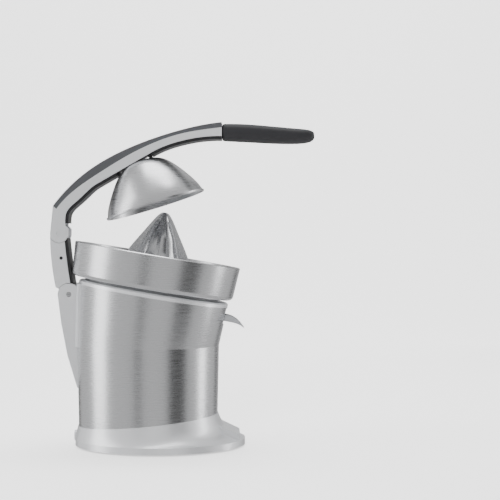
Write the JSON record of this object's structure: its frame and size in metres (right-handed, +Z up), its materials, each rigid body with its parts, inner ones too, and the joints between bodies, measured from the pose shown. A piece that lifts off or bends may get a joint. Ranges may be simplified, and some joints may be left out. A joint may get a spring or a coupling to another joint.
{
  "type": "citrus press juicer",
  "caption": "Electric citrus press with a tilted juice bowl, ribbed reamer cone and a lever arm that lowers a steel dome onto the cone.",
  "frame": {"origin": "centre of the overall box, at the table under the pads", "axes": "+X to the front (spout and grip), +Y across the machine, +Z up"},
  "size_m": [0.2965, 0.188, 0.364],
  "materials": {
    "steel_shell": "fine brushed stainless",
    "satin_metal": "satin silver casting",
    "strip_grey": "mid-grey satin",
    "dark_plastic": "matt",
    "grey_plastic": "satin",
    "white_plastic": "matt",
    "soft_rubber": "soft",
    "cone_metal": "satin",
    "board_green": "matt",
    "bronze": "satin",
    "motor_steel": "satin"
  },
  "bodies": {
    "base": {"collector_ring": "steel_shell", "housing_sleeve": "steel_shell", "filter_basket": "steel_shell", "lower_pin": "steel_shell", "spout_pin": "steel_shell", "plate_screws": "steel_shell", "base_screws": "steel_shell", "housing_collar": "satin_metal", "base_foot": "satin_metal", "rear_bracket": "satin_metal", "glass_rest": "satin_metal", "base_cover": "dark_plastic", "spindle_seal": "dark_plastic", "start_switch": "dark_plastic", "cord_gland": "dark_plastic", "motor_end_cap": "dark_plastic", "juice_bowl": "grey_plastic", "spout_hanger": "grey_plastic", "plate_pillars": "white_plastic", "rubber_pads": "soft_rubber", "control_board": "board_green", "upper_bush": "bronze", "lower_bush": "bronze", "motor_can": "motor_steel", "motor_plate": "motor_steel"},
    "column": {"arm_column": "satin_metal", "column_liner": "dark_plastic", "column_rivet": "dark_plastic"},
    "arm": {"arm_frame": "satin_metal", "arm_top_strip": "strip_grey", "arm_liner": "dark_plastic", "grip": "soft_rubber", "press_pin": "steel_shell", "dome_holder": "dark_plastic", "press_dome": "steel_shell", "dome_bolt": "steel_shell"},
    "cone": {"reamer_cone": "cone_metal", "cone_carrier": "white_plastic", "drive_spindle": "steel_shell", "drive_gear": "white_plastic"},
    "rotor": {"motor_rotor": "motor_steel", "motor_pinion": "white_plastic"},
    "spout": {"spout": "grey_plastic"}
  },
  "joints": [
    {"name": "arm_raise", "type": "hinge", "parent": "base", "child": "column", "pos_m": [-0.1274, 0, 0.1703], "axis": [0, -1, 0], "range_deg": [0, 38]},
    {"name": "arm_press", "type": "hinge", "parent": "column", "child": "arm", "pos_m": [-0.1382, 0, 0.2381], "axis": [0, -1, 0], "range_deg": [-26.9, 0]},
    {"name": "cone_spin", "type": "hinge", "parent": "base", "child": "cone", "pos_m": [-0.0284, 0, 0.215], "axis": [0.1668, 0, 0.986], "continuous": true},
    {"name": "motor_spin", "type": "hinge", "parent": "base", "child": "rotor", "pos_m": [0.00512, 0, 0.20933], "axis": [0.1668, 0, 0.986], "continuous": true},
    {"name": "spout_tilt", "type": "hinge", "parent": "base", "child": "spout", "pos_m": [0.0327, 0, 0.1465], "axis": [0, -1, 0], "range_deg": [0, 15]}
  ],
  "couplings": [
    {"joint": "motor_spin", "follows": "cone_spin", "ratio": -4.6667}
  ]
}
